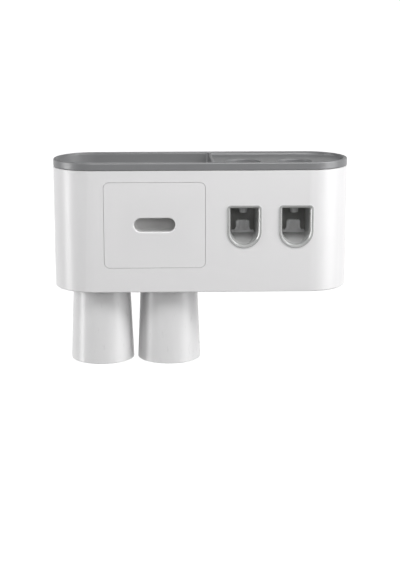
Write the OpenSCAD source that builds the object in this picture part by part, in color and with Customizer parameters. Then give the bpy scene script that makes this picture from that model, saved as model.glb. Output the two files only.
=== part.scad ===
// Wall-hung toothpaste dispenser with a drawer, a top tray, two magnetic cups and a brush rack.
// All sizes in millimetres. +X is to the right, +Y points at the wall, +Z is up.
// Working frame: x = 0 at the middle of the casing, y = 0 at the middle of its depth, z = 0 at its bottom edge.
// wall_frame() moves every piece so that the origin is the middle of the adhesive face on the wall.

/* [Casing] */
// Overall width of the casing
body_w = 325; // [322:1:330]
// Overall depth of the casing, also the diameter of its round ends
body_d = 91; // [91:0.5:93]
// Height of the white casing without the tray rim
casing_h = 134.3; // [134:0.1:136]
// Wall thickness of the casing
wall_t = 2.5; // [2.3:0.1:2.6]
// Radius of the bottom edge of the casing
edge_r = 1.2; // [0.8:0.1:1.6]

/* [Top tray] */
// Height of the tray rim that shows above the casing
rim_h = 8.4; // [8:0.1:9]
// Width of the rim seen from above
rim_t = 4.3; // [4.2:0.1:4.6]
// Depth of the long trough on the left, below the rim
trough_depth = 15; // [12:0.5:15.5]
// Depth of the shallow tray on the right, below the rim
shallow_depth = 3.5; // [3:0.1:4]
// Radius of the two tube wells
well_r = 19; // [18:0.5:20]

/* [Drawer] */
// Width of the drawer front
drawer_w = 110.1; // [108:0.1:111]
// Height of the drawer front
drawer_h = 93.9; // [92:0.1:94.5]
// Gap between the drawer front and the casing
drawer_gap = 0.35; // [0.3:0.05:0.5]
// Length of the finger slot
slot_w = 45; // [40:0.5:50]
// Height of the finger slot
slot_h = 15.3; // [14:0.1:17]

/* [Dispensers] */
// Distance between the two dispensers
pitch_x = 56.5; // [54:0.5:57]
// Radius of the seal bore that takes the neck of the tube
neck_r = 6; // [5.5:0.1:6.5]
// Width of the brush guide tongue on the push lever
tongue_w = 14.9; // [14:0.1:16]
// Radius of the lever's hinge pin
pin_r = 1.5; // [1.4:0.1:1.6]

/* [Cups] */
// Height of a cup
cup_h = 99.9; // [90:0.1:110]
// Outer radius of the cup at its mouth
cup_mouth_r = 35.5; // [34:0.1:36]
// Outer radius of the cup at its closed end
cup_base_r = 31.4; // [30:0.1:31.6]
// Distance between the two cups
cup_pitch = 75.2; // [74:0.1:78]

/* [Wall bracket] */
// Distance between the two wall screws
screw_pitch = 152; // [140:1:155]
// Radius of the wall screw holes
screw_r = 2.25; // [2:0.05:2.5]

/* [Hidden] */
$fn = 96;

white = [0.93, 0.93, 0.92];
grey = [0.50, 0.50, 0.51];
dark = [0.22, 0.23, 0.22];
silver = [0.75, 0.75, 0.76];
steel = [0.62, 0.63, 0.65];
silicone = [0.80, 0.82, 0.83];

rr = body_d / 2;                 // radius of the round ends
ri = rr - wall_t;                // inner radius of the casing
end_x = body_w / 2 - rr;         // centre of each round end
rim_z0 = casing_h + 0.3;
rim_z1 = casing_h + 0.3 + rim_h;
tray_in = rr - rim_t;            // inner half depth of the tray
ins_out = ri - 0.3;              // outer half depth of the tray's skirt
trough_z = rim_z1 - trough_depth;
shallow_z = rim_z1 - shallow_depth;
div_t = 2.4;                     // divider between trough and shallow tray
div_rear = 11.1;                 // middle of the divider at the rear wall
div_front = 13.7;                // middle of the divider at the front wall

disp_mid = 75;
disp_l = disp_mid - pitch_x / 2;
disp_r = disp_mid + pitch_x / 2;
pump_y = -15.5;                  // tube, pump and nozzle stand on this line
hinge_y = -2;
hinge_z = 99.5;

draw_x = -50.85;                 // middle of the drawer
draw_z = 74.6;
slot_z = 75;

cup_mid = -73.25;
cup_l = cup_mid - cup_pitch / 2;
cup_r = cup_mid + cup_pitch / 2;
cup_top = 15.7;
base_z0 = 16;
base_z1 = 18.5;

plate_y0 = rr + 0.3;
pad_y0 = rr + 3.5;
wall_y = rr + 4.5;
mount_z = 95;

bay_boss = [for (x = [-114, 12], z = [45, 105]) [x, z]];
case_boss = [for (xc = [disp_l, disp_r], dx = [-19.5, 19.5], z = [51, 99]) [xc + dx, z]];
base_post = [for (sx = [-1, 1], sy = [-1, 1]) [sx * (end_x + 28.3), sy * 28.3]];
rack_boss = [37.75, 117.25];
brush_x = [24.5, 51, 77.5, 104, 130.5];

// ---------------------------------------------------------------- helpers
module wall_frame() translate([0, -wall_y, -mount_z]) children();

// flat outline of a bar with round ends
module pill2d(w, h) {
    square([w - h, h], center = true);
    for (s = [-1, 1]) translate([s * (w - h) / 2, 0]) circle(r = h / 2);
}
// rectangle with round corners
module round2d(w, h, r) {
    square([w - 2 * r, h], center = true);
    square([w, h - 2 * r], center = true);
    for (sx = [-1, 1], sy = [-1, 1]) translate([sx * (w / 2 - r), sy * (h / 2 - r)]) circle(r = r);
}
// arch with a round bottom and small top corners
module arch2d(hw, z0, z1, rt) {
    translate([0, z0 + hw]) circle(r = hw);
    translate([-hw, z0 + hw]) square([2 * hw, z1 - z0 - hw - rt]);
    translate([-hw + rt, z0 + hw]) square([2 * (hw - rt), z1 - z0 - hw]);
    for (s = [-1, 1]) translate([s * (hw - rt), z1 - rt]) circle(r = rt);
}
// a flat outline in x and z, given depth from y0 to y1
module along_y(y0, y1) translate([0, y1, 0]) rotate([90, 0, 0]) linear_extrude(height = y1 - y0) children();
// cylinder along y
module rod_y(r, y0, y1) translate([0, y1, 0]) rotate([90, 0, 0]) cylinder(r = r, h = y1 - y0);
// cylinder along x
module rod_x(r, x0, x1) translate([x0, 0, 0]) rotate([0, 90, 0]) cylinder(r = r, h = x1 - x0);
// radial section with rounded outer corners
module bar2d(x0, x1, z0, z1, rb, rt) {
    translate([x0, z0 + rb]) square([x1 - x0, z1 - z0 - rb - rt]);
    translate([x0, z0]) square([x1 - x0 - max(rb, rt), z1 - z0]);
    if (rb > 0) translate([x1 - rb, z0 + rb]) circle(r = rb);
    if (rt > 0) translate([x1 - rt, z1 - rt]) circle(r = rt);
    if (rb < rt) translate([x0, z0]) square([x1 - x0 - rb, rt]);
    if (rt < rb) translate([x0, z1 - rb]) square([x1 - x0 - rt, rb]);
}
// section rounded on both corners of its free end
module cap2d(x0, x1, z0, z1, r_in, r_out) {
    m = max(r_in, r_out);
    translate([x0, z0]) square([x1 - x0, z1 - z0 - m]);
    translate([x0 + r_in, z0]) square([x1 - x0 - r_in - r_out, z1 - z0]);
    translate([x0, z0]) square([r_in, z1 - z0 - r_in]);
    translate([x1 - r_out, z0]) square([r_out, z1 - z0 - r_out]);
    translate([x0 + r_in, z1 - r_in]) circle(r = r_in);
    translate([x1 - r_out, z1 - r_out]) circle(r = r_out);
}
// sweeps a radial section round a long outline with round ends
module sweep_oval(w, d) {
    l = w - d;
    for (s = [0, 1]) mirror([0, s, 0]) rotate([90, 0, 90]) linear_extrude(height = l, center = true) children();
    for (s = [0, 1]) mirror([s, 0, 0]) translate([l / 2, 0, 0]) rotate([0, 0, -90]) rotate_extrude(angle = 180) children();
}
// sweeps a radial section round an arch; the section's own x is the half width, its y points out of the front
module sweep_arch(hw, z0, z1, rc) {
    zc = z0 + hw;
    rotate([90, 0, 0]) {
        translate([0, zc, 0]) rotate([0, 0, 180]) rotate_extrude(angle = 180) children();
        for (s = [0, 1]) mirror([s, 0, 0]) {
            translate([0, z1 - rc, 0]) rotate([90, 0, 0]) linear_extrude(height = z1 - rc - zc) children();
            translate([hw - rc, z1 - rc, 0]) rotate_extrude(angle = 90) translate([rc - hw, 0]) children();
        }
        translate([0, z1 - hw, 0]) rotate([90, 0, 90]) linear_extrude(height = 2 * (hw - rc), center = true) children();
    }
}
// outline of a hollow: half depth h, left corner radius a, right corner radius b
module hollow2d(x0, x1, h, a, b) {
    translate([x0 + a, -h]) square([x1 - x0 - a - b, 2 * h]);
    if (a < h) translate([x0, -h + a]) square([x1 - x0 - b, 2 * (h - a)]);
    if (b < h) translate([x0 + a, -h + b]) square([x1 - x0 - a, 2 * (h - b)]);
    for (s = a < h ? [-1, 1] : [0]) translate([x0 + a, s * (h - a)]) circle(r = a);
    for (s = b < h ? [-1, 1] : [0]) translate([x1 - b, s * (h - b)]) circle(r = b);
}
// screw with a pan head: the head starts at z = 0 and the shank points down
module screw(head_r, head_h, shank_r, shank_l) {
    difference() {
        union() {
            cylinder(r = head_r, h = head_h);
            translate([0, 0, -shank_l]) cylinder(r = shank_r, h = shank_l + 0.1);
        }
        translate([0, 0, head_h - 0.9]) {
            translate([-head_r * 0.62, -0.35, 0]) cube([head_r * 1.24, 0.7, 2]);
            translate([-0.35, -head_r * 0.62, 0]) cube([0.7, head_r * 1.24, 2]);
        }
    }
}

// ---------------------------------------------------------------- wall bracket
module wall_plate() color(white) wall_frame() difference() {
    union() {
        translate([0, 0, mount_z]) along_y(plate_y0, plate_y0 + 1.5) round2d(181, 50, 4);
        translate([0, 0, mount_z]) along_y(plate_y0, pad_y0) round2d(169, 50, 4);
    }
    for (s = [-1, 1]) translate([s * screw_pitch / 2, 0, mount_z]) {
        rod_y(screw_r, plate_y0 - 1, pad_y0 + 1);
        translate([0, plate_y0 - 0.01, 0]) rotate([-90, 0, 0]) cylinder(r1 = screw_r + 1.8, r2 = screw_r, h = 1.8);
    }
}
module adhesive_pad() color([0.85, 0.86, 0.88]) wall_frame()
    translate([0, 0, mount_z]) along_y(pad_y0, wall_y) round2d(122, 42, 5);

// ---------------------------------------------------------------- housing
module main_shell() color(white) wall_frame() difference() {
    union() {
        sweep_oval(body_w, body_d) bar2d(ri, rr, 0, casing_h, edge_r, 0.3);
        // bosses for the drawer bay and the dispensers
        for (p = bay_boss) translate([p[0], 0, p[1]]) rod_y(3.6, -ri - 0.5, -37);
        for (p = case_boss) translate([p[0], 0, p[1]]) rod_y(3, -ri - 0.5, -39);
        // posts for the base plate
        for (p = base_post) translate([p[0], p[1], base_z1 + 0.05]) cylinder(r = 3.5, h = 18);
        // two rails that slide down over the wall plate
        for (s = [0, 1]) mirror([s, 0, 0]) {
            translate([91, rr - 0.3, 72]) cube([2.2, 4.1, 52]);
            translate([85.2, plate_y0 + 1.8, 72]) cube([6, 1.7, 52]);
            translate([85.2, rr - 0.3, 120.05]) cube([8, 4.1, 3.95]);
        }
    }
    // drawer opening
    translate([draw_x, 0, draw_z]) along_y(-rr - 2, -36.5 + 30) union() {
        round2d(drawer_w + 2 * drawer_gap, drawer_h + 2 * drawer_gap, 6 + drawer_gap);
    }
    // arch openings
    for (xc = [disp_l, disp_r]) translate([xc, 0, 0]) along_y(-rr - 2, -ri + 2) arch2d(17.5, 50.5, 95.2, 3.2);
    // screw holes
    for (p = bay_boss) translate([p[0], 0, p[1]]) rod_y(1.15, -ri - 0.6, -36);
    for (p = case_boss) translate([p[0], 0, p[1]]) rod_y(1.05, -ri - 0.6, -38);
    for (p = base_post) translate([p[0], p[1], base_z1 - 1]) cylinder(r = 1.15, h = 15);
}

bay_w = drawer_w + 2 * drawer_gap;
bay_h = drawer_h + 2 * drawer_gap;
module drawer_bay() color(white) wall_frame() {
    difference() {
        translate([draw_x, 0, draw_z]) along_y(-ri, 39) round2d(bay_w + 3.6, bay_h + 3.6, 8);
        translate([draw_x, 0, draw_z]) along_y(-ri - 1, 37.2) round2d(bay_w, bay_h, 6 + drawer_gap);
    }
    for (p = bay_boss) {
        x0 = p[0] < draw_x ? p[0] - 3.7 : draw_x + bay_w / 2 + 1.7;
        x1 = p[0] < draw_x ? draw_x - bay_w / 2 - 1.7 : p[0] + 3.7;
        difference() {
            translate([x0, -37, p[1] - 6]) cube([x1 - x0, 2, 12]);
            translate([p[0], 0, p[1]]) rod_y(1.5, -38, -34);
        }
    }
}
module bay_screws() color(steel) wall_frame()
    for (p = bay_boss) translate([p[0], -35, p[1]]) rotate([-90, 0, 0]) screw(2.8, 2, 1.15, 6.5);

tub_x0 = 16;
tub_x1 = 141;
module base_plate() color(white) wall_frame() difference() {
    union() {
        translate([0, 0, base_z0]) linear_extrude(height = base_z1 - base_z0) pill2d(body_w - 2 * wall_t - 0.5, body_d - 2 * wall_t - 0.5);
        translate([0, 0, 2]) linear_extrude(height = 43) tub2d(0);
        // rings that centre the cups
        for (x = [cup_l, cup_r]) translate([x, 0, 12]) difference() {
            cylinder(r = 34.4, h = 4.5);
            translate([0, 0, -1]) cylinder(r = 32.4, h = 5);
        }
    }
    // room for the brush heads
    difference() {
        linear_extrude(height = 43) tub2d(2);
        for (x = rack_boss) translate([x, 24.5, 6.5]) cylinder(r = 4, h = 14);
    }
    for (x = rack_boss) translate([x, 24.5, 6]) cylinder(r = 1.15, h = 11);
    for (p = base_post) translate([p[0], p[1], base_z0 - 1]) cylinder(r = 1.6, h = 5);
}
// outline of the brush chamber, t smaller all round; its front corner follows the round end of the casing
module tub2d(t) intersection() {
    translate([tub_x0 + t, -ri]) square([tub_x1 - tub_x0 - 2 * t, ri + 30 - t]);
    pill2d(body_w - 2 * wall_t - 0.5 - 2 * t, body_d - 2 * wall_t - 0.5 - 2 * t);
}
module base_screws() color(steel) wall_frame()
    for (p = base_post) translate([p[0], p[1], base_z0]) rotate([180, 0, 0]) screw(2.8, 2.2, 1.15, 12);
module holder_magnets() color([0.35, 0.35, 0.37]) wall_frame()
    for (x = [cup_l, cup_r]) translate([x, 0, base_z1]) cylinder(r = 10, h = 3);
module magnet_covers() color(white) wall_frame()
    for (x = [cup_l, cup_r]) translate([x, 0, base_z1]) difference() {
        cylinder(r = 12.5, h = 4.3);
        translate([0, 0, -1]) cylinder(r = 10.15, h = 4.1);
    }

// comb that the brushes hang in
module brush_rack() color(grey) wall_frame() difference() {
    translate([tub_x0 + 2.3, -18, 3.5]) cube([tub_x1 - tub_x0 - 4.6, 45.6, 3]);
    for (x = brush_x) {
        translate([x, -2.25, 2]) cylinder(r = 3.25, h = 6);
        translate([x - 3.25, -20, 2]) cube([6.5, 17.75, 6]);
        // flared mouth
        translate([x, -18, 2]) rotate([0, 0, 45]) translate([-3.9, -3.9, 0]) cube([7.8, 7.8, 6]);
    }
    for (x = rack_boss) translate([x, 24.5, 2]) cylinder(r = 1.5, h = 6);
}
module rack_screws() color(steel) wall_frame()
    for (x = rack_boss) translate([x, 24.5, 3.5]) rotate([180, 0, 0]) screw(2.8, 2, 1.15, 11);

// ---------------------------------------------------------------- dispenser pieces
module at_disp(xc) wall_frame() translate([xc, 0, 0]) children();

module bezel(xc) color(silver) at_disp(xc) translate([0, -rr, 0]) {
    sweep_arch(18.8, 49.2, 96.5, 4.5) {
        union() {
            cap2d(15.7, 18.8, 0, 0.9, 0.4, 0.4);
            polygon([[15.7, 0.3], [17.3, 0.3], [17.3, -4.7], [14.95, -4.7]]);
        }
    }
    // snap lugs behind the casing wall
    for (s = [0, 1]) mirror([s, 0, 0]) translate([17, 2.7, 72]) cube([1, 1.2, 10]);
    translate([-6, 2.7, 94.7]) cube([12, 1.2, 1]);
}

far_hw = 13.35;
far_z0 = 57.3;
far_z1 = 93;
// front part of the throat: an arch that narrows and whose floor rises towards the back, g larger all round
module throat_front(g, y0, y1) intersection() {
    along_y(y0, y1) arch2d(14.9 + g, 53.1 - g, far_z1 + g, 1.5 + g);
    translate([0, 0, 45]) linear_extrude(height = 60)
        polygon([[-15.1 - g, -41], [15.1 + g, -41], [13.29 + g, -8], [-13.29 - g, -8]]);
    rotate([90, 0, 90]) linear_extrude(height = 50, center = true)
        polygon([[-41, 53 - g], [-8, 59.9 - g], [-8, 99], [-41, 99]]);
}
module dispenser_case(xc) color(grey) at_disp(xc) difference() {
    union() {
        throat_front(1.6, -40.5, -9.1);
        translate([0, 0, (far_z0 + far_z1) / 2]) along_y(-10.6, 5.5) round2d(2 * (far_hw + 1.6), far_z1 - far_z0 + 3.2, 4.1);
        // flange on the bosses of the casing
        translate([0, 0, 75]) along_y(-39, -37.2) round2d(46, 55, 3.5);
        // ears for the hinge pin
        for (s = [0, 1]) mirror([s, 0, 0]) {
            translate([0, hinge_y, hinge_z]) rod_x(3.5, 9, 12);
            translate([9, hinge_y - 3.5, far_z1 + 0.6]) cube([3, 7, hinge_z - far_z1 - 0.6]);
            // posts for the pump housing
            translate([18.2, pump_y, 84]) cylinder(r = 2.8, h = far_z1 + 1.6 - 84);
            translate([14.4, pump_y - 1, 84]) cube([3, 2, far_z1 + 1.6 - 84]);
        }
    }
    throat_front(0, -40.6, -9);
    translate([0, 0, (far_z0 + far_z1) / 2]) along_y(-9.1, 6) round2d(2 * far_hw, far_z1 - far_z0, 2.5);
    translate([0, pump_y, 90]) cylinder(r = 5.1, h = 8);
    translate([0, hinge_y, hinge_z]) rod_x(pin_r + 0.02, -14, 14);
    for (s = [-1, 1]) translate([s * 18.2, pump_y, 85.5]) cylinder(r = 1.05, h = 12);
    for (dx = [-19.5, 19.5], z = [51, 99]) translate([dx, 0, z]) rod_y(1.35, -40, -36);
}
module back_plate(xc) color(dark) at_disp(xc) difference() {
    union() {
        translate([0, 0, (far_z0 + far_z1) / 2]) along_y(5.5, 7.3) round2d(2 * (far_hw + 1.6), far_z1 - far_z0 + 3.2, 4.1);
        // side clips
        for (s = [0, 1]) mirror([s, 0, 0]) {
            translate([far_hw + 1.65, -1, 70]) cube([1.3, 8.3, 12]);
            translate([far_hw + 0.6, 5.5, 70]) cube([2.35, 1.8, 12]);
        }
    }
    translate([-5.2, 5, 59.3]) cube([10.4, 3, 13.2]);
}
module nozzle(xc) color(grey) at_disp(xc) translate([0, pump_y, 0]) difference() {
    union() {
        translate([0, 0, 94.6]) cylinder(r = 7, h = 1.6);
        translate([0, 0, 88]) cylinder(r = 4.75, h = 6.7);
        translate([0, 0, 84]) cylinder(r1 = 4, r2 = 4.75, h = 4.1);
        translate([0, 0, 83.5]) cylinder(r1 = 3.6, r2 = 4, h = 0.6);
    }
    translate([0, 0, 80]) cylinder(r = 1.6, h = 20);
}
module pump_bulb(xc) color(silicone) at_disp(xc) translate([0, pump_y, 0]) difference() {
    union() {
        translate([0, 0, 96.2]) cylinder(r = 9, h = 17);
        translate([0, 0, 113]) cylinder(r = 9.9, h = 2.2);
    }
    translate([0, 0, 97.8]) cylinder(r = 7.6, h = 20);
    translate([0, 0, 95]) cylinder(r = 1.6, h = 5);
}
module inlet_valve(xc) color(silicone) at_disp(xc) translate([0, pump_y, 0]) difference() {
    union() {
        translate([0, 0, 114.1]) cylinder(r = 6, h = 1.1);
        translate([0, 0, 115.1]) cylinder(r = 3.4, h = 1.9);
    }
    translate([0, 0, 113]) cylinder(r = 1.5, h = 6);
}
module pump_housing(xc) color(grey) at_disp(xc) translate([0, pump_y, 0]) difference() {
    union() {
        translate([0, 0, 94.6]) cylinder(r = 11.5, h = 30.4);
        translate([-21, -3.4, 94.6]) cube([42, 6.8, 1.6]);
    }
    translate([0, 0, 94]) cylinder(r = 7.2, h = 3);
    translate([0, 0, 96.2]) cylinder(r = 10, h = 19);
    translate([0, 0, 115]) cylinder(r = 3.5, h = 3);
    translate([0, 0, 117.2]) cylinder(r = 9.5, h = 9);
    // open back, where the lever presses the bulb
    translate([-9.2, 6, 96.2]) cube([18.4, 8, 17]);
    for (s = [-1, 1]) translate([s * 18.2, 0, 94]) cylinder(r = 1.35, h = 3);
}
module tube_seal(xc) color(silicone) at_disp(xc) translate([0, pump_y, 0]) difference() {
    translate([0, 0, 117.2]) cylinder(r = 9.4, h = 7.3);
    translate([0, 0, 116]) cylinder(r = neck_r, h = 10);
    translate([0, 0, 122.5]) cylinder(r1 = neck_r, r2 = neck_r + 2.2, h = 2.01);
}
module lever_pin(xc) color(steel) at_disp(xc) translate([0, hinge_y, hinge_z]) {
    rod_x(pin_r, -12.8, 12.5);
    rod_x(2.4, 12.05, 13);
}
// close-wound torsion spring on the hinge pin, with one leg on the case roof and one on top of the lever's beam
spring_rm = 2.35;
spring_wire = 0.4;
module lever_spring(xc) color(steel) at_disp(xc) translate([0, hinge_y, hinge_z]) {
    // coils
    for (k = [0 : 3]) translate([5.5 + 0.7 * k, 0, 0]) rotate([0, 90, 0]) rotate_extrude() translate([spring_rm, 0]) circle(r = spring_wire);
    // legs
    translate([5.5, spring_rm, -4.6]) cylinder(r = 0.36, h = 4.8);
    translate([7.6, -spring_rm, -0.2]) cylinder(r = 0.36, h = 2.8);
    translate([7.6, 0, 2.4]) rod_y(0.33, -spring_rm - 0.2, 6.2);
    translate([0, 6, 2.4]) rod_x(0.36, -3, 7.8);
}
// push lever: brush guide in front, stem and arm behind the back plate, hub on the pin, pad behind the bulb
module bell2d() {
    h = tongue_w / 2;
    translate([-h, 59]) square([2 * h, 11.9]);
    translate([-h + 2.5, 60]) square([2 * h - 5, 13.4]);
    for (s = [-1, 1]) translate([s * (h - 2.5), 70.9]) circle(r = 2.5);
    translate([-13, 60.3]) square([26, 0.5]);
    translate([-11, 58.3]) square([22, 2.5]);
    for (s = [-1, 1]) translate([s * 11, 60.3]) circle(r = 2);
    for (s = [0, 1]) mirror([s, 0]) difference() {
        translate([h - 0.1, 60.5]) square([13 - h + 0.1, 5.5]);
        translate([h + 5.5, 66.2]) circle(r = 5.5);
    }
}
module push_lever(xc) color(grey) at_disp(xc) difference() {
    union() {
        difference() {
            along_y(-6.6, -4) bell2d();
            translate([0, -18, 62]) cylinder(r = 12, h = 14);
        }
        translate([0, -6.4, 59.6]) rod_x(1.1, -11.8, 11.8);
        translate([-4, -4.1, 62]) cube([8, 16.1, 7]);
        translate([-4, 8.2, 62]) cube([8, 3.8, 39.5]);
        translate([-4, hinge_y, 97.5]) cube([8, 14, 4]);
        translate([0, hinge_y, hinge_z]) rod_x(3.6, -8.7, 4.6);
        translate([-4, -4, 99.5]) cube([8, 4, 11.5]);
        translate([-6, -6.2, 105]) cube([12, 3.2, 7]);
    }
    translate([0, hinge_y, hinge_z]) rod_x(pin_r + 0.06, -10, 6);
}
module case_screws() color(steel) wall_frame()
    for (p = case_boss) translate([p[0], -37.2, p[1]]) rotate([-90, 0, 0]) screw(2.4, 1.8, 1.05, 4.8);
module pump_screws() color(steel) wall_frame()
    for (xc = [disp_l, disp_r], s = [-1, 1]) translate([xc + s * 18.2, pump_y, 96.2]) screw(2.4, 1.8, 1.05, 8);

// ---------------------------------------------------------------- top tray
// outline of the tray's hollow on one side of the slanting divider: side is -1 for the trough, 1 for the shallow tray
module half2d(side) intersection() {
    pill2d(2 * (end_x + tray_in), 2 * tray_in);
    translate([side * div_t / 2, 0]) polygon([
        [div_rear, tray_in + 1], [div_rear, tray_in], [div_front, -tray_in], [div_front, -tray_in - 1],
        [side * 200, -tray_in - 1], [side * 200, tray_in + 1]]);
}
module top_tray() color(grey) wall_frame() difference() {
    union() {
        sweep_oval(body_w, body_d) cap2d(tray_in + 0.3, rr, rim_z0, rim_z1, 1, 1.5);
        difference() {
            union() {
                // skirt that drops into the casing
                translate([0, 0, trough_z - 1.8]) linear_extrude(height = rim_z0 - trough_z + 2.3)
                    pill2d(body_w - 2 * (rr - ins_out), 2 * ins_out);
                translate([0, 0, rim_z0 - 1]) linear_extrude(height = shallow_z + 2.3 - rim_z0 + 1)
                    pill2d(body_w - 2 * (rr - tray_in) + 1, 2 * tray_in + 1);
            }
            translate([0, 0, trough_z]) linear_extrude(height = 30) half2d(-1);
            translate([0, 0, shallow_z]) linear_extrude(height = 30) half2d(1);
            // hollow under the shallow tray
            translate([0, 0, trough_z - 3]) linear_extrude(height = shallow_z - 1.8 - trough_z + 3) half2d(1);
        }
        for (xc = [disp_l, disp_r]) translate([xc, pump_y, 0]) {
            // sleeve of the tube well
            translate([0, 0, trough_z - 1.3]) cylinder(r = well_r + 1.6, h = shallow_z - trough_z);
            // low collar
            translate([0, 0, shallow_z - 0.8]) cylinder(r1 = well_r + 2.6, r2 = well_r + 1.8, h = 1.2);
        }
    }
    for (xc = [disp_l, disp_r]) translate([xc, pump_y, trough_z - 5]) cylinder(r = well_r, h = 40);
}

// ---------------------------------------------------------------- drawer
module drawer_front() color(white) wall_frame() translate([draw_x, 0, 0]) difference() {
    translate([0, 0, draw_z]) along_y(-rr, -rr + 3) round2d(drawer_w, drawer_h, 6);
    translate([0, 0, slot_z]) along_y(-rr - 1, -rr + 4) pill2d(slot_w, slot_h);
    // rounded edge of the finger slot
    translate([0, -rr, slot_z]) rotate([90, 0, 0]) sweep_oval(slot_w, slot_h) difference() {
        translate([slot_h / 2 - 0.3, -1.2]) square([1.5, 1.3]);
        translate([slot_h / 2 + 1.2, -1.2]) circle(r = 1.2);
    }
}
box_w = drawer_w - 0.4;
// room for the fingers, 14 mm deep with a rounded bottom
module finger_room() {
    along_y(-rr, -rr + 14) pill2d(slot_w - 7.3, slot_h - 7.3);
    rotate([90, 0, 0]) sweep_oval(slot_w, slot_h) union() {
        translate([2, rr - 10.6]) square([slot_h / 2 - 2, 9]);
        translate([2, rr - 14]) square([slot_h / 2 - 5.4, 5]);
        translate([slot_h / 2 - 3.4, rr - 10.6]) circle(r = 3.4);
    }
}
module drawer_box() color(white) wall_frame() translate([draw_x, 0, 0]) difference() {
    union() {
        difference() {
            translate([0, 0, draw_z]) along_y(-rr + 3, 36) round2d(box_w, drawer_h - 0.6, 6);
            translate([-box_w, -50, 114]) cube([2 * box_w, 100, 20]);
            translate([0, -3.25, 29.8]) linear_extrude(height = 100) round2d(box_w - 3.6, 74.9, 5);
        }
        // wall of the finger recess
        translate([0, 0, slot_z]) along_y(-rr + 3.5, -rr + 15.8) pill2d(slot_w + 3.6, slot_h + 3.6);
    }
    translate([0, 0, slot_z]) finger_room();
}

// ---------------------------------------------------------------- cups
cup_z0 = cup_top - cup_h;
function arc(cx, cz, r, a0, a1, n) = [for (k = [0 : n]) let (a = a0 + (a1 - a0) * k / n) [cx + r * cos(a), cz + r * sin(a)]];
cup_in = cup_base_r - 1.8;
module cup(xc) color(white) wall_frame() translate([xc, 0, 0]) difference() {
    rotate_extrude() polygon(concat(
        [[0, cup_top]],
        arc(cup_base_r - 2.5, cup_top - 2.5, 2.5, 90, 4, 8),
        arc(cup_mouth_r - 1, cup_z0 + 1, 1, 0, -180, 12),
        arc(cup_in - 4, cup_top - 9, 4, 4, 90, 8),
        [[0, cup_top - 5]]));
    translate([0, 0, cup_top - 4]) cylinder(r = 11, h = 5);
}
module cup_magnet(xc) color([0.35, 0.35, 0.37]) wall_frame() translate([xc, 0, cup_top - 4]) cylinder(r = 10.8, h = 2.8);
module cup_magnet_cap(xc) color(white) wall_frame() translate([xc, 0, cup_top - 1.2]) cylinder(r = 10.9, h = 1.1);

wall_plate();
adhesive_pad();
main_shell();
drawer_bay();
bay_screws();
base_plate();
base_screws();
holder_magnets();
magnet_covers();
brush_rack();
rack_screws();
case_screws();
pump_screws();
bezel(disp_l);  // bezel_left
dispenser_case(disp_l);  // dispenser_case_left
back_plate(disp_l);  // back_plate_left
nozzle(disp_l);  // nozzle_left
pump_bulb(disp_l);  // pump_bulb_left
inlet_valve(disp_l);  // inlet_valve_left
pump_housing(disp_l);  // pump_housing_left
tube_seal(disp_l);  // tube_seal_left
lever_pin(disp_l);  // lever_pin_left
lever_spring(disp_l);  // lever_spring_left
push_lever(disp_l);  // push_lever_left
bezel(disp_r);  // bezel_right
dispenser_case(disp_r);  // dispenser_case_right
back_plate(disp_r);  // back_plate_right
nozzle(disp_r);  // nozzle_right
pump_bulb(disp_r);  // pump_bulb_right
inlet_valve(disp_r);  // inlet_valve_right
pump_housing(disp_r);  // pump_housing_right
tube_seal(disp_r);  // tube_seal_right
lever_pin(disp_r);  // lever_pin_right
lever_spring(disp_r);  // lever_spring_right
push_lever(disp_r);  // push_lever_right
top_tray();
drawer_front();
drawer_box();
cup(cup_l);  // cup_left
cup_magnet(cup_l);  // cup_magnet_left
cup_magnet_cap(cup_l);  // cup_magnet_cap_left
cup(cup_r);  // cup_right
cup_magnet(cup_r);  // cup_magnet_right
cup_magnet_cap(cup_r);  // cup_magnet_cap_right
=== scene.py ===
import bpy
import bmesh
import math
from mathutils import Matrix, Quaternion, Vector


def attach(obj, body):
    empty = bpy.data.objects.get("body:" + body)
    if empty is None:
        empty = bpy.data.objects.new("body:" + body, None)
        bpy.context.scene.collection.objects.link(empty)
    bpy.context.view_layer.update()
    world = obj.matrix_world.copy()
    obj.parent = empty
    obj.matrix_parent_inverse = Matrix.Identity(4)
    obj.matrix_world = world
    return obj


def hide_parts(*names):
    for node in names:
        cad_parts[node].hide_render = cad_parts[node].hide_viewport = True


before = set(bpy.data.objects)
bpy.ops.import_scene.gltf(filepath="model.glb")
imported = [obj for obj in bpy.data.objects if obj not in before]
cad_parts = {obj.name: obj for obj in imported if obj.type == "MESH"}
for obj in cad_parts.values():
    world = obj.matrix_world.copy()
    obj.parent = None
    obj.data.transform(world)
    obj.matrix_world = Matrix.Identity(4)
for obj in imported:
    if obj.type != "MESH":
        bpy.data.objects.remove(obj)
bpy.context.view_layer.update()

MM = 0.001


def P(x, y, z):
    """Working frame of the drawing in mm to the row frame in metres."""
    return Vector((x * MM, (y - 50.0) * MM, (z - 95.0) * MM))


# ------------------------------------------------------------------ camera
scene = bpy.context.scene
cam_data = bpy.data.cameras.new("photo_camera")
cam = bpy.data.objects.new("photo_camera", cam_data)
scene.collection.objects.link(cam)
scene.camera = cam
cam_data.sensor_width = 36.0
cam_data.lens = 1499.256 * 36.0 / 570.0
cam_data.clip_start = 0.05
cam_data.clip_end = 200.0
eye = Vector((-0.038183, -1.697636, 0.281016))
target = Vector((-0.000592, -0.050, -0.097349))
cam.location = eye
cam.rotation_mode = "QUATERNION"
cam.rotation_quaternion = (target - eye).to_track_quat("-Z", "Y") @ Quaternion((0, 0, 1), math.radians(-0.08))

# ------------------------------------------------------------------ material helpers


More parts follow.
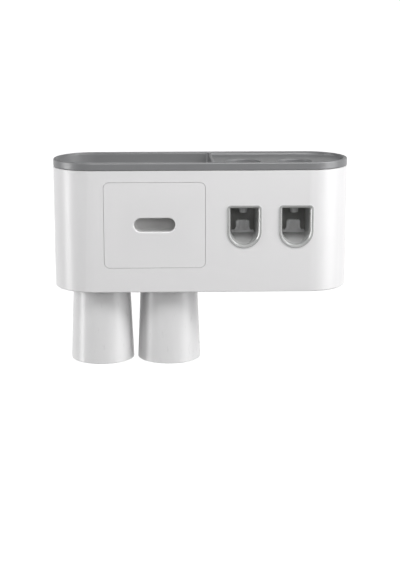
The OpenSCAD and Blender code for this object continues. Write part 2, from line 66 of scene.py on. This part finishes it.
class Nodes:
    def __init__(self, name):
        self.mat = bpy.data.materials.new(name)
        self.mat.use_nodes = True
        self.t = self.mat.node_tree
        self.bsdf = next(n for n in self.t.nodes if n.type == "BSDF_PRINCIPLED")
        self.coord = self.t.nodes.new("ShaderNodeTexCoord")

    def new(self, kind, **props):
        n = self.t.nodes.new(kind)
        for k, v in props.items():
            setattr(n, k, v)
        return n

    def link(self, a, b):
        self.t.links.new(a, b)

    def noise(self, scale, detail=3.0, rough=0.55, stretch=None):
        n = self.new("ShaderNodeTexNoise")
        n.inputs["Scale"].default_value = scale
        n.inputs["Detail"].default_value = detail
        n.inputs["Roughness"].default_value = rough
        if stretch:
            m = self.new("ShaderNodeMapping")
            m.inputs["Scale"].default_value = stretch
            self.link(self.coord.outputs["Object"], m.inputs["Vector"])
            self.link(m.outputs["Vector"], n.inputs["Vector"])
        else:
            self.link(self.coord.outputs["Object"], n.inputs["Vector"])
        return n.outputs["Fac"]

    def ramp(self, fac, stops):
        r = self.new("ShaderNodeValToRGB")
        el = r.color_ramp.elements
        while len(el) < len(stops):
            el.new(0.5)
        for e, (p, c) in zip(el, stops):
            e.position = p
            e.color = c if len(c) == 4 else (*c, 1.0)
        self.link(fac, r.inputs["Fac"])
        return r.outputs["Color"]

    def remap(self, fac, a, b, lo, hi):
        m = self.new("ShaderNodeMapRange")
        m.inputs["From Min"].default_value = a
        m.inputs["From Max"].default_value = b
        m.inputs["To Min"].default_value = lo
        m.inputs["To Max"].default_value = hi
        self.link(fac, m.inputs["Value"])
        return m.outputs["Result"]

    def mix(self, fac, a, b):
        m = self.new("ShaderNodeMix", data_type="RGBA")
        if isinstance(fac, float):
            m.inputs[0].default_value = fac
        else:
            self.link(fac, m.inputs[0])
        for socket, v in ((m.inputs[6], a), (m.inputs[7], b)):
            if isinstance(v, tuple):
                socket.default_value = (*v, 1.0)
            else:
                self.link(v, socket)
        return m.outputs[2]

    def bump(self, height, strength, distance):
        b = self.new("ShaderNodeBump")
        b.inputs["Strength"].default_value = strength
        b.inputs["Distance"].default_value = distance
        self.link(height, b.inputs["Height"])
        return b

    def edges(self, lo=0.505, hi=0.56):
        """Brightness of sharp outer edges, from how convex the surface is."""
        g = self.new("ShaderNodeNewGeometry")
        return self.remap(g.outputs["Pointiness"], lo, hi, 0.0, 1.0)


def shade(c, k):
    return tuple(min(1.0, x * k) for x in c)


def plastic(name, color, rough, vary=0.03, grain=0.0, grain_scale=2600.0, worn=1.06, spec=0.5, coat=0.0, rough_vary=0.04):
    """Moulded plastic: a faint flow pattern, a fine grain or polish, handling marks and lighter worn edges."""
    n = Nodes(name)
    cloud = n.noise(14.0, 4.0)
    flow = n.noise(60.0, 3.0, 0.6, (0.35, 1.0, 1.0))
    base = n.ramp(cloud, [(0.25, shade(color, 1 - vary)), (0.75, shade(color, 1 + vary * 0.6))])
    base = n.mix(n.remap(flow, 0.4, 0.7, 0.0, 0.35), base, shade(color, 1 - vary * 1.4))
    base = n.mix(n.edges(), base, shade(color, worn))
    n.link(base, n.bsdf.inputs["Base Color"])
    marks = n.noise(240.0, 6.0, 0.7, (1.0, 1.0, 0.25))
    n.link(n.remap(marks, 0.3, 0.75, rough - rough_vary, rough + rough_vary), n.bsdf.inputs["Roughness"])
    fine = n.noise(grain_scale, 2.0, 0.5)
    wave = n.noise(45.0, 2.0, 0.4)
    b = n.bump(wave, 0.05, 0.0006)
    if grain > 0:
        b2 = n.bump(fine, grain, 0.00004)
        n.link(b.outputs["Normal"], b2.inputs["Normal"])
        b = b2
    n.link(b.outputs["Normal"], n.bsdf.inputs["Normal"])
    n.bsdf.inputs["Specular IOR Level"].default_value = spec
    if coat:
        n.bsdf.inputs["Coat Weight"].default_value = coat
        n.bsdf.inputs["Coat Roughness"].default_value = 0.12
    return n.mat


def metal(name, color, rough, brushed=(1, 1, 1), metallic=1.0, scratch=0.05, spots=None):
    n = Nodes(name)
    cloud = n.noise(70.0, 4.0)
    line = n.noise(900.0, 3.0, 0.6, brushed)
    base = n.ramp(cloud, [(0.3, shade(color, 0.93)), (0.7, shade(color, 1.05))])
    if spots:
        base = n.mix(n.remap(n.noise(380.0, 5.0, 0.7), 0.62, 0.75, 0.0, 0.5), base, spots)
    n.link(base, n.bsdf.inputs["Base Color"])
    n.link(n.remap(line, 0.3, 0.7, rough * 0.75, rough * 1.3), n.bsdf.inputs["Roughness"])
    b = n.bump(line, scratch, 0.00002)
    n.link(b.outputs["Normal"], n.bsdf.inputs["Normal"])
    n.bsdf.inputs["Metallic"].default_value = metallic
    return n.mat


def rubber(name, color, rough, through=0.0):
    n = Nodes(name)
    cloud = n.noise(120.0, 4.0)
    base = n.ramp(cloud, [(0.3, shade(color, 0.93)), (0.72, shade(color, 1.04))])
    n.link(base, n.bsdf.inputs["Base Color"])
    n.link(n.remap(n.noise(500.0, 3.0), 0.3, 0.7, rough - 0.06, rough + 0.08), n.bsdf.inputs["Roughness"])
    b = n.bump(n.noise(2200.0, 2.0), 0.12, 0.00003)
    n.link(b.outputs["Normal"], n.bsdf.inputs["Normal"])
    if through:
        n.bsdf.inputs["Subsurface Weight"].default_value = through
        n.bsdf.inputs["Subsurface Radius"].default_value = (0.002, 0.002, 0.002)
        n.bsdf.inputs["Subsurface Scale"].default_value = 1.0
    return n.mat


def foam(name, color):
    n = Nodes(name)
    cells = n.new("ShaderNodeTexVoronoi")
    cells.inputs["Scale"].default_value = 900.0
    n.link(n.coord.outputs["Object"], cells.inputs["Vector"])
    base = n.ramp(cells.outputs["Distance"], [(0.0, shade(color, 0.82)), (0.6, color)])
    n.link(base, n.bsdf.inputs["Base Color"])
    n.link(n.remap(n.noise(300.0), 0.3, 0.7, 0.78, 0.95), n.bsdf.inputs["Roughness"])
    b = n.bump(cells.outputs["Distance"], 0.4, 0.0002)
    n.link(b.outputs["Normal"], n.bsdf.inputs["Normal"])
    return n.mat


M = {
    "shell_white": plastic("shell_white", (0.800, 0.795, 0.800), 0.34, vary=0.010, grain=0.10, worn=1.02),
    "inner_white": plastic("inner_white", (0.780, 0.775, 0.775), 0.46, vary=0.015, grain=0.16, worn=1.02),
    # drawer box: the same white plastic as inner_white, painted darker as painted shade for the dim recess seen
    # through the finger slot
    "box_white_painted_shade": plastic("box_white_painted_shade", (0.55, 0.548, 0.545), 0.46, vary=0.015, grain=0.16, worn=1.02),
    "plate_white": plastic("plate_white", (0.760, 0.758, 0.755), 0.50, vary=0.02, grain=0.25, worn=1.03),
    "cup_white": plastic("cup_white", (0.785, 0.782, 0.785), 0.30, vary=0.010, grain=0.06, worn=1.02),
    "tray_grey": plastic("tray_grey", (0.205, 0.207, 0.212), 0.40, vary=0.035, grain=0.45, worn=1.22, spec=1.0),
    "bezel_silver": plastic("bezel_silver", (0.44, 0.445, 0.44), 0.22, vary=0.03, grain=0.05, worn=1.08, spec=0.7, coat=0.5),
    "case_grey": plastic("case_grey", (0.50, 0.503, 0.50), 0.44, vary=0.04, grain=0.35, worn=1.15),
    "lever_grey": plastic("lever_grey", (0.70, 0.702, 0.705), 0.40, vary=0.04, grain=0.35, worn=1.2),
    "nozzle_grey": plastic("nozzle_grey", (0.72, 0.722, 0.72), 0.42, vary=0.04, grain=0.35, worn=1.15),
    "back_dark": plastic("back_dark", (0.50, 0.503, 0.49), 0.50, vary=0.06, grain=0.35, worn=1.3),
    "pump_grey": plastic("pump_grey", (0.42, 0.425, 0.43), 0.46, vary=0.03, grain=0.3, worn=1.1),
    "silicone": rubber("silicone", (0.72, 0.74, 0.74), 0.42, through=0.15),
    "steel_pin": metal("steel_pin", (0.62, 0.62, 0.63), 0.22, (0.05, 1.0, 1.0), scratch=0.2),
    "spring_steel": metal("spring_steel", (0.50, 0.50, 0.51), 0.28, scratch=0.2),
    "screw_steel": metal("screw_steel", (0.66, 0.66, 0.65), 0.26, scratch=0.3),
    "magnet_nickel": metal("magnet_nickel", (0.60, 0.59, 0.56), 0.24, scratch=0.3, spots=(0.40, 0.39, 0.36)),
    "adhesive_foam": foam("adhesive_foam", (0.66, 0.67, 0.69)),
}

SIDES = ("left", "right")
FINISH = {
    "shell_white": ["main_shell", "drawer_front"],
    "inner_white": ["drawer_bay", "base_plate", "magnet_covers"],
    "box_white_painted_shade": ["drawer_box"],
    # the drawer box takes the darker white: painted shade for its finger-slot recess
    "plate_white": ["wall_plate"],
    "adhesive_foam": ["adhesive_pad"],
    "tray_grey": ["top_tray", "brush_rack"],
    "screw_steel": ["bay_screws", "base_screws", "rack_screws", "case_screws", "pump_screws"],
    "magnet_nickel": ["holder_magnets"] + ["cup_magnet_" + s for s in SIDES],
    "cup_white": ["cup_" + s for s in SIDES] + ["cup_magnet_cap_" + s for s in SIDES],
    "bezel_silver": ["bezel_" + s for s in SIDES],
    "case_grey": ["dispenser_case_" + s for s in SIDES],
    "back_dark": ["back_plate_" + s for s in SIDES],
    "nozzle_grey": ["nozzle_" + s for s in SIDES],
    "silicone": [k + s for k in ("pump_bulb_", "inlet_valve_", "tube_seal_") for s in SIDES],
    "pump_grey": ["pump_housing_" + s for s in SIDES],
    "steel_pin": ["lever_pin_" + s for s in SIDES],
    "spring_steel": ["lever_spring_" + s for s in SIDES],
    "lever_grey": ["push_lever_" + s for s in SIDES],
}
FINISH_OF = {n: f for f, ns in FINISH.items() for n in ns}

# edge rounding in mm added to the drawn solids
ROUND = {
    "main_shell": 0.2,
    "drawer_front": 0.1,
    "drawer_box": 0.35,
    "drawer_bay": 0.3,
    "base_plate": 0.3,
    "brush_rack": 0.4,
    "wall_plate": 0.25,
    "magnet_covers": 0.3,
}
for s in SIDES:
    ROUND["push_lever_" + s] = 0.45
    ROUND["dispenser_case_" + s] = 0.3
    ROUND["back_plate_" + s] = 0.2
    ROUND["nozzle_" + s] = 0.3
    ROUND["pump_housing_" + s] = 0.25


def soften(obj, width, angle=40.0):
    """Merges flat facets, rounds the sharp edges and keeps flat faces flat in the shading."""
    if width > 0:
        d = obj.modifiers.new("flat_faces", "DECIMATE")
        d.decimate_type = "DISSOLVE"
        d.angle_limit = math.radians(0.4)
        d.delimit = {"NORMAL"}
        b = obj.modifiers.new("edge_round", "BEVEL")
        b.width = width * MM
        b.segments = 3
        b.limit_method = "ANGLE"
        b.angle_limit = math.radians(angle)
        b.use_clamp_overlap = False
        b.harden_normals = False
        b.miter_outer = "MITER_ARC"
    w = obj.modifiers.new("flat_shading", "WEIGHTED_NORMAL")
    w.keep_sharp = True
    w.weight = 60


for name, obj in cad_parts.items():
    mat = M[FINISH_OF[name]]
    obj.data.materials.clear()
    obj.data.materials.append(mat)

# ------------------------------------------------------------------ mesh helpers


def make(name, verts, faces, mat, body, smooth_deg=35.0):
    mesh = bpy.data.meshes.new(name)
    mesh.from_pydata([tuple(v) for v in verts], [], faces)
    mesh.validate()
    obj = bpy.data.objects.new(name, mesh)
    scene.collection.objects.link(obj)
    bm = bmesh.new()
    bm.from_mesh(mesh)
    bmesh.ops.remove_doubles(bm, verts=bm.verts, dist=1e-7)
    bmesh.ops.recalc_face_normals(bm, faces=bm.faces)
    bm.to_mesh(mesh)
    bm.free()
    finish_mesh(obj, mat, smooth_deg)
    if body:
        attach(obj, body)
    return obj


def finish_mesh(obj, mat, smooth_deg=35.0):
    mesh = obj.data
    for p in mesh.polygons:
        p.use_smooth = True
    mesh.set_sharp_from_angle(angle=math.radians(smooth_deg))
    mesh.materials.clear()
    if mat:
        mesh.materials.append(mat)


def arc_pts(cx, cy, r, a0, a1, n):
    return [(cx + r * math.cos(math.radians(a0 + (a1 - a0) * k / n)), cy + r * math.sin(math.radians(a0 + (a1 - a0) * k / n))) for k in range(n + 1)]


def hollow(x0, x1, h, a, b, nl=32, nr=32):
    """Outline of a hollow, counter-clockwise: half depth h, left corner radius a, right corner radius b."""
    pts = []
    pts += arc_pts(x1 - b, -h + b, b, -90, 0, nr)
    pts += arc_pts(x1 - b, h - b, b, 0, 90, nr)
    pts += arc_pts(x0 + a, h - a, a, 90, 180, nl)
    pts += arc_pts(x0 + a, -h + a, a, 180, 270, nl)
    return pts


def loft(rings, close_ends=True):
    """Rings of equal length, each a list of Vectors, to verts and faces."""
    n = len(rings[0])
    verts = [v for r in rings for v in r]
    faces = []
    for i in range(len(rings) - 1):
        for j in range(n):
            k = (j + 1) % n
            faces.append((i * n + j, i * n + k, (i + 1) * n + k, (i + 1) * n + j))
    if close_ends:
        faces.append(tuple(reversed(range(n))))
        faces.append(tuple(range((len(rings) - 1) * n, len(rings) * n)))
    return verts, faces


def solid(name, rings):
    v, f = loft(rings)
    mesh = bpy.data.meshes.new(name)
    mesh.from_pydata([tuple(p) for p in v], [], f)
    bm = bmesh.new()
    bm.from_mesh(mesh)
    bmesh.ops.remove_doubles(bm, verts=bm.verts, dist=2e-7)
    bmesh.ops.recalc_face_normals(bm, faces=bm.faces)
    bm.to_mesh(mesh)
    bm.free()
    obj = bpy.data.objects.new(name, mesh)
    scene.collection.objects.link(obj)
    return obj


def revolve(name, profile, cx, cy, n=96):
    """Closed profile of (r, z) round a vertical axis."""
    verts, faces = [], []
    m = len(profile)
    for i in range(n):
        a = 2 * math.pi * i / n
        for r, z in profile:
            verts.append(P(cx + r * math.cos(a), cy + r * math.sin(a), z))
    for i in range(n):
        i2 = (i + 1) % n
        for j in range(m):
            j2 = (j + 1) % m
            faces.append((i * m + j, i2 * m + j, i2 * m + j2, i * m + j2))
    mesh = bpy.data.meshes.new(name)
    mesh.from_pydata([tuple(p) for p in verts], [], faces)
    bm = bmesh.new()
    bm.from_mesh(mesh)
    bmesh.ops.recalc_face_normals(bm, faces=bm.faces)
    bm.to_mesh(mesh)
    bm.free()
    obj = bpy.data.objects.new(name, mesh)
    scene.collection.objects.link(obj)
    return obj


def boolean(obj, other, how):
    m = obj.modifiers.new("cut", "BOOLEAN")
    m.object = other
    m.operation = how
    m.solver = "EXACT"
    dg = bpy.context.evaluated_depsgraph_get()
    mesh = bpy.data.meshes.new_from_object(obj.evaluated_get(dg))
    obj.modifiers.clear()
    obj.data = mesh
    bpy.data.objects.remove(other, do_unlink=True)


# ------------------------------------------------------------------ top tray
BODY_W, BODY_D = 325.0, 91.0
RR = BODY_D / 2
END_X = BODY_W / 2 - RR
RIM0, RIM1 = 134.6, 143.0
TI = RR - 4.3
FLOOR, SHALLOW = 128.0, 139.5
DIV = 12.4            # middle of the divider at half depth
DIV_T = 2.4
SLANT = 2.6 / 82.4    # how far the divider slants towards the front


def pill(off, z, n=48):
    r = RR + off
    pts = hollow(-END_X - r, END_X + r, r, r, r, n // 2, n // 2)
    return [P(x, y, z) for x, y in pts]


def hollow_ring(x0, x1, h, a, b, off, z, slant=0):
    """Ring of a hollow; slant is 1 when its right side follows the divider, -1 when its left side does."""
    xm = (x0 + x1) / 2
    pts = []
    for x, y in hollow(x0 - off, x1 + off, h + off, a + off, b + off):
        near = (x > xm) if slant > 0 else (x < xm)
        pts.append(P(x - (SLANT * y if slant and near else 0.0), y, z))
    return pts


def quarter(r, n=6):
    return [(r * (1 - math.cos(math.radians(90 * k / n))), r * math.sin(math.radians(90 * k / n))) for k in range(n + 1)]


def top_tray():
    rings = [pill(-3.6, 126.2), pill(-3.0, 126.5), pill(-2.8, 127.1), pill(-2.8, RIM0 - 0.3), pill(-2.6, RIM0)]
    rings += [pill(-1.0 + 1.0 * math.sin(t), RIM0 + 1.0 - 1.0 * math.cos(t)) for t in [math.radians(15 * k) for k in range(7)]]
    rings += [pill(-1.5 + 1.5 * math.cos(t), RIM1 - 1.5 + 1.5 * math.sin(t)) for t in [math.radians(11.25 * k) for k in range(9)]]
    body = solid("top_tray_look", rings)
    # upper part of the hollow, over both halves; its top edge is rounded
    cut = [hollow_ring(-END_X - TI, END_X + TI, TI, TI, TI, 0.04, 141.8)]
    cut += [hollow_ring(-END_X - TI, END_X + TI, TI, TI, TI, 0.04 + q[0], RIM1 - 1.1 + q[1]) for q in quarter(1.1)]
    cut += [hollow_ring(-END_X - TI, END_X + TI, TI, TI, TI, 0.04 + 1.1, RIM1 + 3)]
    boolean(body, solid("cut_a", cut), "DIFFERENCE")
    for x0, x1, a, b, floor, f, sl in (
        (-END_X - TI, DIV - DIV_T / 2, TI, 4.6, FLOOR, 4.0, 1),
        (DIV + DIV_T / 2, END_X + TI, 4.2, TI, SHALLOW, 1.5, -1),
    ):
        rings = [hollow_ring(x0, x1, TI, a, b, -f + f * math.sin(t), floor + f - f * math.cos(t), sl) for t in [math.radians(15 * k) for k in range(7)]]
        rings += [hollow_ring(x0, x1, TI, a, b, q[0], 141.8 - 1.18 + q[1], sl) for q in quarter(1.18)]
        rings += [hollow_ring(x0, x1, TI, a, b, 1.18, 141.9, sl)]
        boolean(body, solid("cut_b", rings), "DIFFERENCE")
    # hollow under the shallow half
    rings = [hollow_ring(DIV + DIV_T / 2, END_X + TI, TI, 3.0, TI, 0.0, z, -1) for z in (120, SHALLOW - 1.8)]
    boolean(body, solid("cut_c", rings), "DIFFERENCE")
    for xc in (46.75, 103.25):
        hole = revolve_solid("cut_d", 20.0, xc, -15.5, 120, 150)
        boolean(body, hole, "DIFFERENCE")
    for xc in (46.75, 103.25):
        prof = [(19.0, 126.7), (20.4, 126.7), (20.6, 126.9), (20.6, 138.6), (22.6, 138.6), (22.6, 139.42), (22.2, 139.52), (21.8, 139.6), (21.4, 139.72), (21.0, 139.86), (20.6, 139.95), (20.3, 139.98)]
        prof += [(20.1 + 1.1 * math.cos(math.radians(a)), 138.9 + 1.1 * math.sin(math.radians(a))) for a in (90, 105, 120, 135, 150, 165, 180)]
        boolean(body, revolve("collar", prof, xc, -15.5), "UNION")
    finish_mesh(body, M["tray_grey"], 32)
    soften(body, 0)
    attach(body, "tray")
    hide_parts("top_tray")
    return body


def revolve_solid(name, r, cx, cy, z0, z1, n=96):
    ring = lambda z: [P(cx + r * math.cos(2 * math.pi * i / n), cy + r * math.sin(2 * math.pi * i / n), z) for i in range(n)]
    return solid(name, [ring(z0), ring(z1)])


top_tray()

# ------------------------------------------------------------------ bright frames round the two openings


def arch(xc, u, v, n=40):
    """Arch outline in the front plane for half width u, v mm out of the casing's front face."""
    zc = 68.0
    top = 96.5 - (18.8 - u)
    rc = max(1.6, 4.5 - (18.8 - u))
    pts = arc_pts(0, zc, u, 180, 360, n)
    pts += arc_pts(u - rc, top - rc, rc, 0, 90, 8)
    pts += arc_pts(-u + rc, top - rc, rc, 90, 180, 8)
    return [P(xc + x, -RR - v, z) for x, z in pts]


def bezel(side, xc):
    prof = [(18.80, 0.03), (18.80, 0.5)]
    prof += [(18.4 + 0.4 * math.cos(math.radians(a)), 0.5 + 0.4 * math.sin(math.radians(a))) for a in (18, 36, 54, 72, 90)]
    prof += [(17.55, 0.88), (17.30, 0.84), (17.22, 0.72), (17.18, 0.38), (17.10, 0.30), (16.98, 0.30), (16.92, 0.38), (16.88, 0.56), (16.80, 0.58)]
    prof += [(15.86, -0.32), (15.74, -0.50), (15.60, -0.90), (15.20, -2.9), (14.98, -4.6), (15.05, -4.72), (17.2, -4.72), (17.3, -4.6), (17.3, 0.03)]
    rings = [arch(xc, u, v) for u, v in prof]
    n = len(rings[0])
    verts = [p for r in rings for p in r]
    faces = []
    m = len(rings)
    for i in range(m):
        i2 = (i + 1) % m
        for j in range(n):
            k = (j + 1) % n
            faces.append((i * n + j, i * n + k, i2 * n + k, i2 * n + j))
    o = make("bezel_" + side + "_look", verts, faces, M["bezel_silver"], "housing", 50)
    soften(o, 0)
    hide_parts("bezel_" + side)
    return o


bezel("left", 46.75)
bezel("right", 103.25)

for name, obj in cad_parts.items():
    if obj.hide_render:
        continue
    soften(obj, ROUND.get(name, 0))

# ------------------------------------------------------------------ stage and light


def stage_mesh(name, verts, faces, mat):
    mesh = bpy.data.meshes.new(name)
    mesh.from_pydata(verts, [], faces)
    for p in mesh.polygons:
        p.use_smooth = True
    mesh.materials.append(mat)
    o = bpy.data.objects.new(name, mesh)
    scene.collection.objects.link(o)
    return o


floor_mat = bpy.data.materials.new("pale_floor")
floor_mat.use_nodes = True
fb = next(n for n in floor_mat.node_tree.nodes if n.type == "BSDF_PRINCIPLED")
fb.inputs["Base Color"].default_value = (0.86, 0.86, 0.86, 1)
fb.inputs["Roughness"].default_value = 0.9
fb.inputs["Specular IOR Level"].default_value = 0.1

sweep_mat = bpy.data.materials.new("white_sweep")
sweep_mat.use_nodes = True
sb = next(n for n in sweep_mat.node_tree.nodes if n.type == "BSDF_PRINCIPLED")
sb.inputs["Base Color"].default_value = (0.9, 0.9, 0.9, 1)
sb.inputs["Roughness"].default_value = 0.95
sb.inputs["Specular IOR Level"].default_value = 0.0
sb.inputs["Emission Color"].default_value = (1, 1, 1, 1)
sb.inputs["Emission Strength"].default_value = 0.85

FZ = -1.5
stage_mesh("floor", [(-12, -12, FZ), (12, -12, FZ), (12, 12, FZ), (-12, 12, FZ)], [(0, 1, 2, 3)], floor_mat)
pv, pf = [], []
NS = 24
for i in range(NS + 1):
    t = i / NS
    a = math.radians(74 * t)
    y = 1.7 + 3.0 * math.sin(a)
    z = FZ + 0.002 + 3.6 * (1 - math.cos(a))
    pv += [(-5.5, y, z), (5.5, y, z)]
for i in range(NS):
    pf.append((2 * i, 2 * i + 1, 2 * i + 3, 2 * i + 2))
stage_mesh("white_sweep", pv, pf, sweep_mat)

world = bpy.data.worlds.new("studio")
scene.world = world
world.use_nodes = True
bg = next(n for n in world.node_tree.nodes if n.type == "BACKGROUND")
bg.inputs["Color"].default_value = (1.0, 1.0, 1.0, 1)
bg.inputs["Strength"].default_value = 0.04


def softbox(name, at, to, sx, sy, watts, color=(1, 1, 1)):
    data = bpy.data.lights.new(name, "AREA")
    data.shape = "RECTANGLE"
    data.size = sx
    data.size_y = sy
    data.energy = watts
    data.color = color
    o = bpy.data.objects.new(name, data)
    scene.collection.objects.link(o)
    o.location = at
    o.rotation_mode = "QUATERNION"
    o.rotation_quaternion = (Vector(to) - Vector(at)).to_track_quat("-Z", "Y")
    return o


LIGHTS = {
    "key_right": ((1.75, -0.75, 0.25), (0.1, -0.05, -0.05), 1.1, 1.6, 21.5),
    "key_top": ((0.15, -1.1, 1.5), (0.0, -0.05, 0.0), 1.3, 0.7, 17.0),
    "front": ((0.25, -2.0, 0.75), (0.0, -0.05, -0.05), 1.2, 0.9, 7.0),
    "fill_left": ((-1.8, -0.35, 0.1), (-0.1, -0.05, -0.05), 0.5, 1.5, 20.5),
    "right_high": ((1.3, -0.6, 1.2), (0.05, -0.05, 0.0), 0.8, 0.8, 12.2),
}
for k, v in LIGHTS.items():
    softbox(k, *v)

scene.view_settings.view_transform = "Standard"
scene.view_settings.look = "None"
scene.view_settings.exposure = 0.0
scene.view_settings.gamma = 1.0
